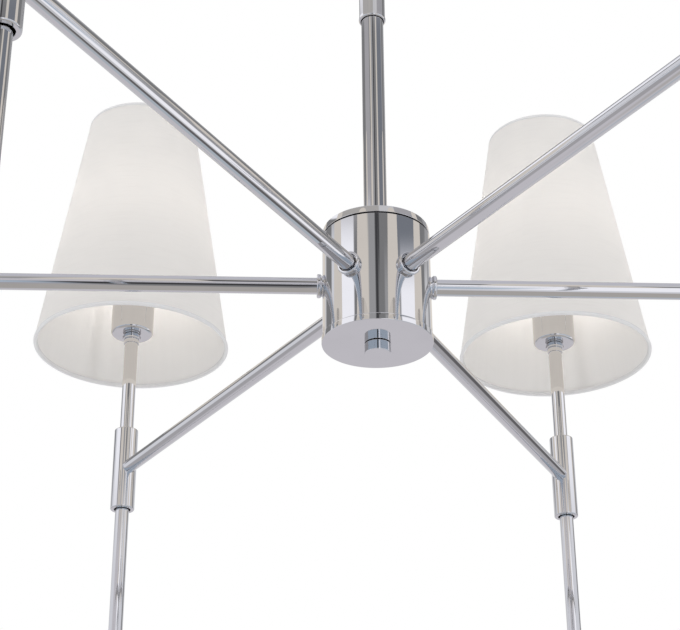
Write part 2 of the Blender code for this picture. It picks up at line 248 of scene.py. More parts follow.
def on_arm(n, out=0.0):
    """Places a piece modelled about the origin: out along arm n, at the arms' height."""
    place = Matrix.Translation((0, 0, ARM_PLANE)) @ Matrix.Rotation(AZIMUTHS[n], 4, "Z")
    return place @ Matrix.Translation((out, 0, 0))


LAID_OUT = Matrix.Rotation(math.pi / 2, 4, "Y")     # turns a piece's Z to point out along the arm


def plain_object(name, mesh, material):
    data = bpy.data.meshes.new(name)
    mesh.to_mesh(data)
    mesh.free()
    data.materials.append(material)
    made = bpy.data.objects.new(name, data)
    bpy.context.scene.collection.objects.link(made)
    return made


def piece(name, mesh, material, body, slot, replaced=(), weighted=True):
    """A finished object with its place in its mesh, riding on a body."""
    made = plain_object(name, mesh, material)
    made.data.shade_smooth()
    made.data.set_sharp_from_angle(angle=SHARP_ANGLE)
    if weighted:
        normals = made.modifiers.new("Even reflections", "WEIGHTED_NORMAL")
        normals.keep_sharp = True
        normals.weight = 80
    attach(made, body)
    if replaced:
        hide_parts(*replaced)
    return made


def lamp_piece(n, name, mesh, *looks, **more):
    """A piece modelled about the axis of lamp n, with its heights measured from the arms."""
    return piece(name, moved(mesh, on_arm(n, ARM_REACH)), *looks, **more)


# ---- materials ----
class Value:
    """A number, colour or direction on its way through a node tree."""

    def __init__(self, nodes, socket):
        self.nodes = nodes
        self.socket = socket

    def maths(self, operation, first, second=0.0):
        return self.nodes.node("Math", {"operation": operation}, {0: first, 1: second})

    def __add__(self, other):
        return self.maths("ADD", self, other)

    def __radd__(self, other):
        return self.maths("ADD", other, self)

    def __radd__(self, other):
        return self.maths("ADD", other, self)

    def __sub__(self, other):
        return self.maths("SUBTRACT", self, other)

    def __rsub__(self, other):
        return self.maths("SUBTRACT", other, self)

    def __mul__(self, other):
        return self.maths("MULTIPLY", self, other)

    def __rmul__(self, other):
        return self.maths("MULTIPLY", other, self)

    def __truediv__(self, other):
        return self.maths("DIVIDE", self, other)

    def __abs__(self):
        return self.maths("ABSOLUTE", self)

    def sine(self):
        return self.maths("SINE", self)

    def arcsine(self):
        return self.maths("ARCSINE", self)

    def sign(self):
        return self.maths("SIGN", self)

    def arctan2(self, other):
        return self.maths("ARCTAN2", self, other)


class Nodes:
    """A node tree, with one way to add any node."""

    def __init__(self, owner):
        owner.use_nodes = True
        self.owner = owner
        self.tree = owner.node_tree
        self.tree.nodes.clear()

    def node(self, kind, settings=None, sockets=None, out=0):
        made = self.tree.nodes.new("ShaderNode" + kind)
        for name, value in (settings or {}).items():
            if name == "stops":
                self.set_stops(made.color_ramp, value)
            else:
                setattr(made, name, value)
        for name, value in (sockets or {}).items():
            if isinstance(value, Value):
                self.tree.links.new(value.socket, made.inputs[name])
            else:
                made.inputs[name].default_value = value
        return Value(self, made.outputs[out]) if made.outputs else None

    @staticmethod
    def set_stops(ramp, stops):
        while len(ramp.elements) < len(stops):
            ramp.elements.new(1.0)
        for element, (place, colour) in zip(ramp.elements, stops):
            element.position = place
            element.color = (*colour, 1.0)

    def object_place(self):
        return self.node("TexCoord", out=3)

    def parts(self, vector):
        """A direction's or a place's X, Y and Z."""
        return [self.node("SeparateXYZ", {}, {0: vector}, out=axis) for axis in range(3)]

    def mixed(self, share, first, second):
        """A colour between two others."""
        return self.node("Mix", {"data_type": "RGBA"}, {0: share, 6: first, 7: second}, out=2)

    def joined(self, share, first, second):
        """A shader between two others."""
        return self.node("MixShader", {}, {0: share, 1: first, 2: second})

    def spread(self, value, low_in, high_in, low_out=0.0, high_out=1.0):
        """Eases a number from one range to another."""
        return self.node("MapRange", {"interpolation_type": "SMOOTHSTEP"},
                         {0: value, 1: low_in, 2: high_in, 3: low_out, 4: high_out})

    def noise(self, vector, scale, detail):
        return self.node("TexNoise", {}, {"Vector": vector, "Scale": scale, "Detail": detail,
                                          "Roughness": 0.5})

    def streaks(self, surface, scale, detail):
        """Noise drawn out in UV. scale is in cycles a metre round, and along, the piece."""
        drawn = self.node("Mapping", {"vector_type": "POINT"},
                          {"Vector": surface, "Scale": (*scale, 1.0)})
        return self.noise(drawn, 1.0, detail)

    def bump(self, height, strength, depth):
        return self.node("Bump", {}, {"Strength": strength, "Distance": depth, "Height": height})

    def principled(self, base, roughness, **sockets):
        named = {name.replace("_", " "): value for name, value in sockets.items()}
        named |= {"Base Color": base, "Roughness": roughness}
        return self.node("BsdfPrincipled", {}, named)

    def in_mirrors(self, surface, instead):
        """Shows polished metal another shader in place of the surface."""
        return self.joined(self.node("LightPath", out=3), surface, instead)


def shaded(colour, share):
    return (*(c * share for c in colour), 1.0)


def finish(recipe):
    """Makes the material of the recipe's name when it is first asked for, then reuses it."""

    def maker():
        name = recipe.__name__
        if name not in bpy.data.materials:
            nodes = Nodes(bpy.data.materials.new(name))
            shader = recipe(nodes, bpy.context.scene.chandelier_finishes)
            nodes.node("OutputMaterial", {}, {"Surface": shader})
        return bpy.data.materials[name]

    return maker


def polished(nodes, colour, marks):
    """Polished chrome with faint buffing marks, drawn out in UV."""
    surface = nodes.node("UVMap")
    lines = nodes.streaks(surface, marks, 2.0)
    haze = nodes.spread(nodes.noise(nodes.object_place(), 38.0, 3.0), 0.35, 0.75)
    base = nodes.mixed(haze * 0.6 + lines * 0.4, (*colour, 1.0), shaded(colour, 0.95))
    return nodes.principled(base, 0.018 + haze * 0.022 + lines * 0.012, Metallic=1.0)


@finish
def tube_chrome(nodes, finishes):
    """Marks run lengthwise, as on drawn and buffed tube."""
    return polished(nodes, finishes.chrome, (900.0, 12.0))


@finish
def turned_chrome(nodes, finishes):
    """Marks run round the axis, as left by a buffing wheel on a turned piece."""
    return polished(nodes, finishes.chrome, (14.0, 1100.0))


@finish
def zinc_plating(nodes, finishes):
    """Zinc-plated steel with a faint spangle and a few rub marks."""
    place = nodes.object_place()
    spangle = nodes.node("TexVoronoi", {"feature": "F1"}, {"Vector": place, "Scale": 260.0}, out=1)
    flake = nodes.node("SeparateColor", {}, {0: spangle})
    cloud = nodes.noise(place, 90.0, 4.0)
    base = nodes.mixed(flake * 0.5 + cloud * 0.5, shaded(finishes.zinc, 0.80),
                       shaded(finishes.zinc, 1.15))
    return nodes.principled(base, 0.34 + cloud * 0.18 + flake * 0.06, Metallic=1.0,
                            Normal=nodes.bump(cloud, 0.15, 0.0001))


@finish
def painted_gap_shade(nodes, finishes):
    """Painted shade: near-black, a little uneven, on the lid's hidden locating ring, so the gap
    under the lid shows as a dark shadow line.
    """
    cloud = nodes.noise(nodes.object_place(), 180.0, 3.0)
    base = nodes.mixed(cloud, shaded(finishes.gap_shade_tone, 1.0), shaded(finishes.gap_shade_tone, 2.0))
    return nodes.principled(base, 0.55 + cloud * 0.2)


@finish
def moulded_plastic(nodes, finishes):
    """White moulded plastic with a fine eggshell skin."""
    place = nodes.object_place()
    skin = nodes.noise(place, 2400.0, 2.0)
    flow = nodes.noise(place, 70.0, 3.0)
    base = nodes.mixed(flow, shaded(finishes.plastic, 0.95), shaded(finishes.plastic, 1.03))
    return nodes.principled(base, 0.36 + skin * 0.10 + flow * 0.05,
                            Normal=nodes.bump(skin, 0.10, 0.00005))


@finish
def painted_wire(nodes, finishes):
    """White enamel on the shade's wire fitter."""
    place = nodes.object_place()
    orange_peel = nodes.noise(place, 700.0, 2.0)
    drips = nodes.noise(place, 120.0, 2.0)
    base = nodes.mixed(drips, shaded(finishes.plastic, 0.92), shaded(finishes.plastic, 1.0))
    return nodes.principled(base, 0.25 + drips * 0.15,
                            Normal=nodes.bump(orange_peel, 0.12, 0.0001))


def even_in_mirrors(nodes, surface, tone, pattern, strength):
    """Gives polished metal an even, noiseless painted glow to reflect in place of the lit surface:
    a painted reflection.
    """
    seen = nodes.mixed(pattern, (*tone, 1.0), shaded(tone, 0.94))
    glow = nodes.node("Emission", {}, {"Color": seen, "Strength": strength})
    nodes.owner.cycles.emission_sampling = "NONE"
    return nodes.in_mirrors(surface, glow)


def woven(nodes, finishes, colour, through, pitch):
    """Plain-weave cloth in UV metres. through is the share of light that passes."""
    place = nodes.object_place()
    surface = nodes.node("UVMap")
    across, along, _ = nodes.parts(surface)
    uneven = nodes.noise(place, 140.0, 2.0) * 1.6
    warp = (across * (math.tau / pitch) + uneven).sine()
    weft = (along * (math.tau / pitch) + uneven).sine()
    weave = warp * weft * 0.25 + abs(warp) * 0.25 + abs(weft) * 0.25
    slubs = nodes.spread(nodes.streaks(surface, (30.0, 700.0), 2.0), 0.45, 0.75)
    cloud = nodes.noise(place, 22.0, 3.0)
    pattern = weave * 0.35 + slubs * 0.35 + cloud * 0.30
    base = nodes.mixed(pattern, shaded(colour, 1.02), shaded(colour, 0.955))
    bump = nodes.bump(weave + slubs * 0.4, 0.18, 0.0001)
    cloth = nodes.principled(base, 0.82 + weave * 0.10, Specular_IOR_Level=0.25,
                             Sheen_Weight=0.10, Sheen_Roughness=0.4, Normal=bump)
    lit = nodes.node("BsdfTranslucent", {}, {"Color": base, "Normal": bump})
    both = nodes.joined(through, cloth, lit)
    return even_in_mirrors(nodes, both, finishes.mirrored, pattern, 1.0)


@finish
def shade_cloth(nodes, finishes):
    return woven(nodes, finishes, finishes.fabric, 0.46, finishes.thread_pitch)


@finish
def shade_tape(nodes, finishes):
    """Closer cloth than the shade's own, and almost opaque over its wire."""
    return woven(nodes, finishes, finishes.tape, 0.05, finishes.thread_pitch * 0.8)


@finish
def shade_lining(nodes, finishes):
    """Smooth styrene bonded inside the cloth, warm white, with faint rolling streaks."""
    streaks = nodes.streaks(nodes.node("UVMap"), (260.0, 6.0), 3.0)
    cloud = nodes.noise(nodes.object_place(), 26.0, 3.0)
    base = nodes.mixed(streaks * 0.6 + cloud * 0.4, shaded(finishes.lining, 1.03),
                       shaded(finishes.lining, 0.95))
    bump = nodes.bump(streaks, 0.06, 0.0002)
    film = nodes.principled(base, 0.42 + cloud * 0.12, Normal=bump)
    lit = nodes.node("BsdfTranslucent", {}, {"Color": base, "Normal": bump})
    both = nodes.joined(0.55, film, lit)
    return even_in_mirrors(nodes, both, finishes.mirrored, cloud, 0.9)


@finish
def opal_glass(nodes, finishes):
    """Lit opal glass, dimmer at the neck and mottled by its inner coat."""
    _, along, _ = nodes.parts(nodes.node("UVMap"))
    coat = nodes.noise(nodes.object_place(), 160.0, 3.0)
    neck = nodes.spread(along, 0.172, 0.190)
    glow = nodes.mixed(neck * (0.85 + coat * 0.15), shaded(finishes.glow, 0.25),
                       (*finishes.glow, 1.0))
    base = nodes.mixed(coat, (0.90, 0.88, 0.85, 1.0), (0.95, 0.94, 0.92, 1.0))
    return nodes.principled(base, 0.12 + coat * 0.10, Coat_Weight=0.5, Coat_Roughness=0.05,
                            Emission_Color=glow, Emission_Strength=finishes.glow_strength)


@finish
def pale_floor(nodes, finishes):
    """Matt pale floor. Polished metal sees through it to the studio's own panels."""
    cloud = nodes.noise(nodes.object_place(), 1.5, 3.0)
    base = nodes.mixed(cloud, shaded(finishes.floor, 0.957), shaded(finishes.floor, 1.0))
    matt = nodes.principled(base, 0.9)
    return nodes.in_mirrors(matt, nodes.node("BsdfTransparent"))


# ---- stage ----
WHITE_PANEL = (1.22, 1.22, 1.28)
LILAC = (0.86, 0.87, 0.92)
BEIGE = (0.81, 0.76, 0.69)
PALE_GREY = (0.76, 0.76, 0.78)
HAZE = (0.71, 0.69, 0.73)
STEEL_BLUE = (0.56, 0.65, 0.76)
COOL_GREY = (0.55, 0.61, 0.67)
WARM_GREY = (0.55, 0.53, 0.51)
MID_GREY = (0.50, 0.49, 0.51)
GREY = (0.42, 0.42, 0.43)
SLATE = (0.234, 0.251, 0.287)
DARK_GREY = (0.26, 0.26, 0.265)
SHADOW = (0.17, 0.165, 0.17)
BLACK_FLAG = (0.065, 0.065, 0.07)
CEILING_TONE = (0.68, 0.68, 0.74, 1.0)
FLOOR_TONE = (0.53, 0.505, 0.48, 1.0)
WHITE = (1.0, 1.0, 1.0, 1.0)
PANEL_BLUR = 0.8                # half the width, in degrees, of the blend between two panels


def bands(*panels):
    """Ramp stops for a ring of studio panels, each (end in degrees, colour), with crisp edges.

    The ring starts and ends straight ahead of the camera, at -180 and 180 degrees; 0 is behind it.
    """
    stops = []
    start = -180.0
    for end, colour in panels:
        stops.append((0.5 + (start + PANEL_BLUR) / 360, colour))
        stops.append((0.5 + (end - PANEL_BLUR) / 360, colour))
        start = end
    return stops


def studio_light():
    """Even white light, with the banded panels of a photographer's tent seen only by reflection."""
    world = bpy.data.worlds.new("studio")
    bpy.context.scene.world = world
    nodes = Nodes(world)
    x, y, z = nodes.parts(nodes.node("TexCoord", out=0))
    height = z.arcsine() * math.degrees(1.0)
    share = x.arctan2(y * -1.0) / math.tau + 0.5

    def ring(*panels):
        return nodes.node("ValToRGB", {"stops": bands(*panels)}, {0: share})

    def light(colour, strength):
        return nodes.node("Background", {}, {"Color": colour, "Strength": strength})

    deep = ring(
        (-110, HAZE), (-8, MID_GREY), (3, DARK_GREY), (50, LILAC), (120, PALE_GREY), (143, SHADOW),
        (174, COOL_GREY), (180, HAZE))
    below = ring(
        (-148, HAZE), (-96, MID_GREY), (-8, STEEL_BLUE), (3, BLACK_FLAG), (9, STEEL_BLUE),
        (18, WHITE_PANEL), (98, STEEL_BLUE), (114, WHITE_PANEL), (142, MID_GREY), (180, HAZE))
    waist = ring(
        (-125, PALE_GREY), (-60, LILAC), (4, HAZE), (30, WHITE_PANEL), (98, LILAC), (112, GREY),
        (126, SHADOW), (180, PALE_GREY))
    near = ring(
        (-138, PALE_GREY), (-114, DARK_GREY), (-94, LILAC), (-52, WHITE_PANEL), (-42, DARK_GREY),
        (-20, BEIGE), (-6, GREY), (0, BLACK_FLAG), (13, DARK_GREY), (20, GREY), (39, BEIGE),
        (48, GREY), (180, WHITE_PANEL))
    far = ring(
        (92, WHITE_PANEL), (106, BEIGE), (118, DARK_GREY), (132, PALE_GREY), (142, GREY),
        (180, LILAC))
    eye_level = nodes.mixed(nodes.spread(share, 0.5 + 87 / 360, 0.5 + 89 / 360), near, far)
    above = ring(
        (-150, GREY), (-98, DARK_GREY), (-44, MID_GREY), (-36, DARK_GREY), (-22, BEIGE), (-6, GREY),
        (3, BLACK_FLAG), (24, DARK_GREY), (38, BEIGE), (88, SLATE), (100, GREY), (125, DARK_GREY),
        (180, GREY))
    high_up = ring(
        (-146, DARK_GREY), (-96, WHITE_PANEL), (4, WARM_GREY), (40, PALE_GREY), (100, MID_GREY),
        (140, DARK_GREY), (180, GREY))

    # Each layer takes over from the one before it between two heights, in degrees.
    panel_top = 29.9 - 0.8 * x.sign()
    tent = below
    for over, start, end, layer in (
            (height, -12.0, -5.0, waist), (height, 18.0, 23.0, eye_level),
            (height - panel_top, -1.4, 0.9, above), (height, 36.5, 38.5, high_up),
            (height, 48.0, 58.0, CEILING_TONE), (height, -30.0, -37.0, deep),
            (height, -48.0, -58.0, FLOOR_TONE)):
        tent = nodes.mixed(nodes.spread(over, start, end), tent, layer)

    soft = light(WHITE, nodes.spread(y, -0.9, 0.9, 1.20, 1.05))
    lit = nodes.in_mirrors(soft, light(tent, 1.0))
    seen = nodes.joined(nodes.node("LightPath", out=0), lit, light(WHITE, 1.0))
    nodes.node("OutputWorld", {}, {"Surface": seen})


class CHANDELIER_OT_set_stage(bpy.types.Operator):
    """Sets the camera, the soft studio light and the pale floor"""

    bl_idname = "chandelier.set_stage"
    bl_label = "Set Stage"

    def execute(self, context):
        studio = context.scene.chandelier_studio
        rise, yaw, roll = studio.camera_rise, studio.camera_yaw, studio.camera_roll
        ahead = Vector((math.sin(yaw) * math.cos(rise), math.cos(yaw) * math.cos(rise),
                        math.sin(rise)))
        right = Vector((math.cos(yaw), -math.sin(yaw), 0.0))
        upright = right.cross(ahead)
        across = math.cos(roll) * right + math.sin(roll) * upright
        upward = math.cos(roll) * upright - math.sin(roll) * right
        camera = bpy.data.objects.new("camera", bpy.data.cameras.new("camera"))
        context.scene.collection.objects.link(camera)
        turn = Matrix((across, upward, -ahead)).transposed().to_4x4()
        camera.matrix_world = Matrix.Translation(studio.camera_place) @ turn
        camera.data.sensor_width = 36.0
        camera.data.lens = studio.focal_length
        camera.data.shift_x, camera.data.shift_y = studio.shift
        camera.data.clip_start = 0.01
        camera.data.clip_end = 100.0
        context.scene.camera = camera
        context.scene.view_settings.view_transform = "Standard"
        studio_light()
        mesh = bmesh.new()
        bmesh.ops.create_grid(mesh, x_segments=2, y_segments=2, size=studio.floor_size / 2)
        moved(mesh, Matrix.Translation((0, 0, CAD_BOX[0].z - studio.floor_drop)))
        plain_object("floor", mesh, pale_floor())
        return {"FINISHED"}


# ---- ceiling end ----
class CHANDELIER_OT_make_ceiling_end(bpy.types.Operator):
    """Makes the canopy, its sliding collar and the drop rods with their coupling"""

    bl_idname = "chandelier.make_ceiling_end"
    bl_label = "Make Ceiling End"

    def execute(self, context):
        sizes = context.scene.chandelier_sizes
        bore = ROD_RADIUS + sizes.fit
        self.make_canopy(sizes, bore)
        self.make_collar(bore)
        self.make_rods(bore)
        return {"FINISHED"}

    def make_canopy(self, sizes, bore):
        wide, foot, rim = outside("canopy")
        corner, sheet = sizes.canopy_corner, sizes.sheet
        centre = (wide - corner, foot + corner)
        outline = [(wide, rim)]
        outline += arc(centre, corner, 0, -90, 10)
        outline += [(bore, foot), (bore, foot + sheet)]
        outline += arc(centre, corner - sheet, -90, 0, 10)
        outline += [(wide - sheet, rim)]
        mesh = turned(outline, sizes.edge, wide, 96)
        piece("canopy_shell", mesh, turned_chrome(), "canopy", "chrome_hub", ["canopy"])

    def make_collar(self, bore):
        wide, foot, top = outside("canopy_collar")
        groove, deep = top - 0.0030, wide - 0.0005
        outline = [(bore, top), (wide, top), (wide, groove), (deep, groove - 0.0003),
                   (deep, groove - 0.0007), (wide, groove - 0.0010), (wide, foot + 0.0028),
                   (wide - 0.0016, foot), (bore, foot)]
        mesh = turned(outline, 0.0003, wide)
        piece("canopy_slide_collar", mesh, turned_chrome(), "canopy", "chrome_hub",
              ["canopy_collar"])

    def make_rods(self, bore):
        inner = ROD_RADIUS - 0.0021
        for node in ("upper_rod", "lower_rod"):
            mesh = turned(tube(ROD_RADIUS, inner, low(node), high(node)), 0.0003, ROD_RADIUS)
            piece(f"{node}_tube", mesh, tube_chrome(), "root", "chrome_tube", [node])
        wide, foot, top = outside("rod_joiner")
        lip, end_band, mouth = 0.0011, 0.0034, 0.0020
        waist, flare = wide - 0.0004, bore + 0.0004
        outline = [(flare, foot)]
        outline += arc((wide - lip, foot + lip), lip, -90, 0, 6)
        outline += [(waist, foot + end_band), (waist, top - end_band)]
        outline += arc((wide - lip, top - lip), lip, 0, 90, 6)
        outline += [(flare, top), (bore, top - mouth), (bore, foot + mouth)]
        mesh = turned(outline, 0.0, wide)
        piece("rod_coupling", mesh, tube_chrome(), "root", "chrome_tube", ["rod_joiner"])


# ---- hub ----
class CHANDELIER_OT_make_hub(bpy.types.Operator):
    """Makes the polished drum, its lid, its mirror base and the knob"""

    bl_idname = "chandelier.make_hub"
    bl_label = "Make Hub"

    def execute(self, context):
        sizes = context.scene.chandelier_sizes
        self.make_lid(sizes)
        self.make_drum(sizes)
        self.make_base(sizes)
        self.make_knob()
        return {"FINISHED"}

    def make_lid(self, sizes):
        """The lid, tapered a little, and the ring that centres it in the drum, made near-black as
        painted shade for the gap under the lid.
        """
        top = high("hub_cap")
        under = top - sizes.lid
        hole = ROD_RADIUS + sizes.fit
        ring = HUB_RADIUS - sizes.hub_wall - 2 * sizes.fit
        ring_bore = ring - LOCATING_WALL
        taper, relief = 0.0005, 0.0010
        outline = [(hole, top), (HUB_RADIUS - taper, top), (HUB_RADIUS, under),
                   (ring_bore, under), (ring_bore, under + relief), (hole, under + relief)]
        mesh = turned(outline, sizes.edge, HUB_RADIUS, 128)
        piece("hub_lid", mesh, turned_chrome(), "root", "chrome_hub", ["hub_cap"])
        mesh = turned(tube(ring, ring_bore, low("hub_cap"), under - 0.0001), 0.00015, ring, 128)
        # The ring's near-black is painted shade in the gap under the lid.
        piece("hub_lid_ring", mesh, painted_gap_shade(), "root", "chrome_hub")

    def make_drum(self, sizes):
        top = high("hub_shell") - sizes.shadow_line
        outline = tube(HUB_RADIUS, HUB_RADIUS - sizes.hub_wall, low("hub_shell"), top)
        mesh = turned(outline, 0.00015, HUB_RADIUS, 128)
        piece("hub_drum", mesh, turned_chrome(), "root", "chrome_hub", ["hub_shell"])

    def make_base(self, sizes):
        """A shallow dish, a little wider than the drum, with a locating ring inside it."""
        wide, foot, ring_top = outside("hub_base")
        seat, floor = low("hub_shell") - 0.0001, foot + 0.0022
        ring = HUB_RADIUS - sizes.hub_wall - 2 * sizes.fit
        ring_bore = ring - LOCATING_WALL
        outline = [(STUD_BORE, foot), (wide, foot), (wide, seat), (ring, seat), (ring, ring_top),
                   (ring_bore, ring_top), (ring_bore, floor), (STUD_BORE, floor)]
        mesh = turned(outline, 0.00035, wide, 128)
        piece("hub_base_plate", mesh, turned_chrome(), "root", "chrome_base", ["hub_base"])

    def make_knob(self):
        wide, foot, top = outside("finial")
        socket = top - 0.0042
        outline = [(0.0, foot), (wide, foot), (wide, top), (STUD_BORE, top), (STUD_BORE, socket),
                   (0.0, socket)]
        mesh = turned(outline, 0.0004, wide, 64, ring=False)
        piece("hub_knob", mesh, turned_chrome(), "finial", "chrome_hub", ["finial"])


# ---- arms ----
class CHANDELIER_OT_make_arms(bpy.types.Operator):
    """Makes each arm's tube, the beaded collar at the hub and the sleeve on the stem"""

    bl_idname = "chandelier.make_arms"
    bl_label = "Make Arms"

    def execute(self, context):
        sizes = context.scene.chandelier_sizes
        for n in ARMS:
            self.make_tube(n, sizes)
            self.make_collar(n, sizes)
            self.make_sleeve(n, sizes)
        return {"FINISHED"}

    def make_tube(self, n, sizes):
        start = HUB_RADIUS - 0.0095
        end = ARM_REACH - 0.76 * sizes.sleeve_radius
        wire_way = 0.0037
        mesh = turned(tube(sizes.arm_radius, wire_way, start, end), 0.0002, sizes.arm_radius, 48)
        moved(mesh, on_arm(n) @ LAID_OUT)
        piece(f"arm_{n}_tube", mesh, tube_chrome(), "root", "chrome_tube", [f"arm_{n}"])

    def make_collar(self, n, sizes):
        """A spigot in the drum's wall, then a rounded bead with a recess round the tube."""
        start = HUB_RADIUS - 0.0025
        step = HUB_RADIUS + sizes.fit
        end = step + 0.0030
        bead, edge = sizes.collar_bead, 0.0008
        bore, recess, spigot = sizes.arm_radius + sizes.fit, 0.0057, 0.0062
        outline = [(bore, start), (spigot, start), (spigot, step)]
        outline += arc((bead - edge, step + 0.0014), edge, -60, 0, 4)
        outline += arc((bead - edge, end - edge), edge, 0, 90, 5)
        outline += [(recess + 0.0002, end), (recess, end - 0.0002), (recess, step + 0.0008),
                    (bore, step + 0.0006)]
        mesh = turned(outline, 0.0, bead, 48)
        moved(mesh, on_arm(n) @ LAID_OUT)
        piece(f"arm_{n}_collar", mesh, turned_chrome(), "root", "chrome_tube", [f"collar_{n}"])

    def make_sleeve(self, n, sizes):
        half = (high(f"arm_{n}") - low(f"arm_{n}")) / 2
        wide, mouth, edge, chamfer = sizes.sleeve_radius, 0.0061, 0.0009, 0.0002
        bore = sizes.stem_radius + sizes.fit
        shoulder, seat = half - 0.008, half - 0.0074
        outline = arc((wide - edge, half - edge), edge, 90, 0, 5)
        outline += arc((wide - edge, edge - half), edge, 0, -90, 5)
        outline += [(mouth + chamfer, -half), (mouth, chamfer - half), (mouth, -shoulder),
                    (bore, -seat), (bore, seat), (mouth, shoulder), (mouth, half - chamfer),
                    (mouth + chamfer, half)]
        mesh = turned(outline, 0.0, wide, 64)
        lamp_piece(n, f"arm_{n}_sleeve", mesh, tube_chrome(), "root", "chrome_tube")


# ---- lamps ----
class CHANDELIER_OT_make_lamps(bpy.types.Operator):
    """Makes each lamp's stem with its two-step nut, its cup and the threaded lampholder"""

    bl_idname = "chandelier.make_lamps"
    bl_label = "Make Lamps"

    def execute(self, context):
        sizes = context.scene.chandelier_sizes
        for n in ARMS:
            self.make_stem(n, sizes)
            self.make_cup(n, sizes)
            self.make_holder(n, sizes)
        return {"FINISHED"}

    def make_stem(self, n, sizes):
        """A long rod with a rounded tip and, under the cup, a neck, a wide step and a washer."""
        tip, head = above_arms(f"stem_{n}")
        seat = low(f"cup_{n}") - ARM_PLANE - sizes.fit
        thin, tip_round = sizes.stem_radius, 0.0016
        neck, step, step_edge, washer = 0.0058, 0.0071, 0.0005, 0.0062
        neck_foot = seat - 0.0075
        bore, bore_end = 0.0036, head - 0.020
        outline = [(0.0, tip)]
        outline += arc((thin - tip_round, tip + tip_round), tip_round, -90, 0, 5)
        outline += [(thin, neck_foot), (neck, neck_foot), (neck, seat - 0.0042)]
        outline += arc((step - step_edge, seat - 0.0037), step_edge, -90, 0, 3)
        outline += arc((step - step_edge, seat - 0.0017), step_edge, 0, 90, 3)
        outline += [(washer, seat - 0.0012), (washer, seat), (thin, seat), (thin, head),
                    (bore, head), (bore, bore_end), (0.0, bore_end)]
        mesh = turned(outline, 0.00015, thin, 48, ring=False)
        lamp_piece(n, f"lamp_{n}_stem", mesh, tube_chrome(), "root", "chrome_tube", [f"stem_{n}"])

    def make_cup(self, n, sizes):
        foot, rim = above_arms(f"cup_{n}")
        wide, wall = 0.0162, 0.0010
        corner, lip, inner_lip = sizes.cup_corner, 0.0004, 0.0003
        hole = sizes.stem_radius + sizes.fit
        centre = (wide - corner, foot + corner)
        outline = [(hole, foot)]
        outline += arc(centre, corner, -90, 0, 8)
        outline += arc((wide - lip, rim - lip), lip, 0, 90, 3)
        outline += arc((wide - wall + inner_lip, rim - inner_lip), inner_lip, 90, 180, 3)
        outline += arc(centre, corner - wall, 0, -90, 6)
        outline += [(hole, foot + wall)]
        mesh = turned(outline, 0.0, wide, 72)
        lamp_piece(n, f"lamp_{n}_cup", mesh, turned_chrome(), "root", "chrome_cup", [f"cup_{n}"])

    def make_holder(self, n, sizes):
        """A flange over the cup's rim, then a barrel with the thread that the ring nut turns on."""
        foot, top = above_arms(f"lampholder_{n}")
        rim = high(f"cup_{n}") - ARM_PLANE + sizes.fit
        wide, bore, root, flange = sizes.holder_radius, 0.0073, 0.0137, 0.0186
        flange_top, well, groove = rim + 0.0014, rim + 0.0050, wide - 0.0006
        outline = [(0.0, foot), (root, foot), (root, rim), (flange, rim), (flange, flange_top),
                   (groove, flange_top)]
        start, pitch, plain_end = rim + 0.0030, 0.0024, 0.0015
        for turn in range(int((top - plain_end - start) / pitch)):
            base = start + turn * pitch
            outline += [(groove, base), (wide, base + 0.0007), (wide, base + 0.0011),
                        (groove, base + 0.0018)]
        outline += [(groove, top), (bore, top), (bore, well), (0.0, well)]
        mesh = turned(outline, 0.00015, wide, 48, ring=False)
        lamp_piece(n, f"lamp_{n}_holder", mesh, moulded_plastic(), "root", "white_plastic",
                   [f"lampholder_{n}"])


class CHANDELIER_OT_make_ring_nuts(bpy.types.Operator):
    """Makes the scalloped ring nuts that clamp the shades"""

    bl_idname = "chandelier.make_ring_nuts"
    bl_label = "Make Ring Nuts"

    def execute(self, context):
        sizes = context.scene.chandelier_sizes
        lobes, valley, wide, edge = 12, 0.0016, 0.0262, 0.0012
        bore, neck, plain = sizes.holder_radius + 0.0004, 0.0175, 0.0200
        for n in ARMS:
            foot, top = above_arms(f"shade_ring_{n}")
            outline = [(bore, foot + 0.0003), (bore + 0.0003, foot)]
            outline += arc((wide - edge, foot + edge), edge, -90, 0, 4)
            outline += arc((wide - edge, foot + 0.0019), edge, 0, 90, 4)
            outline += [(neck + 0.0005, foot + 0.0040), (neck, foot + 0.0046), (neck, top - 0.0005),
                        (neck - 0.0005, top), (bore, top)]
            mesh = turned(outline, 0.0, wide, 12 * lobes)
            for vert in mesh.verts:
                across = math.hypot(vert.co.x, vert.co.y)
                if across > plain:
                    turn = math.atan2(vert.co.y, vert.co.x)
                    dip = valley * (0.5 - 0.5 * math.cos(lobes * turn)) / wide
                    vert.co.x *= 1.0 - dip
                    vert.co.y *= 1.0 - dip
            lamp_piece(n, f"lamp_{n}_ring_nut", mesh, moulded_plastic(), f"shade_ring_{n}",
                       "white_plastic", [f"shade_ring_{n}"])
        return {"FINISHED"}


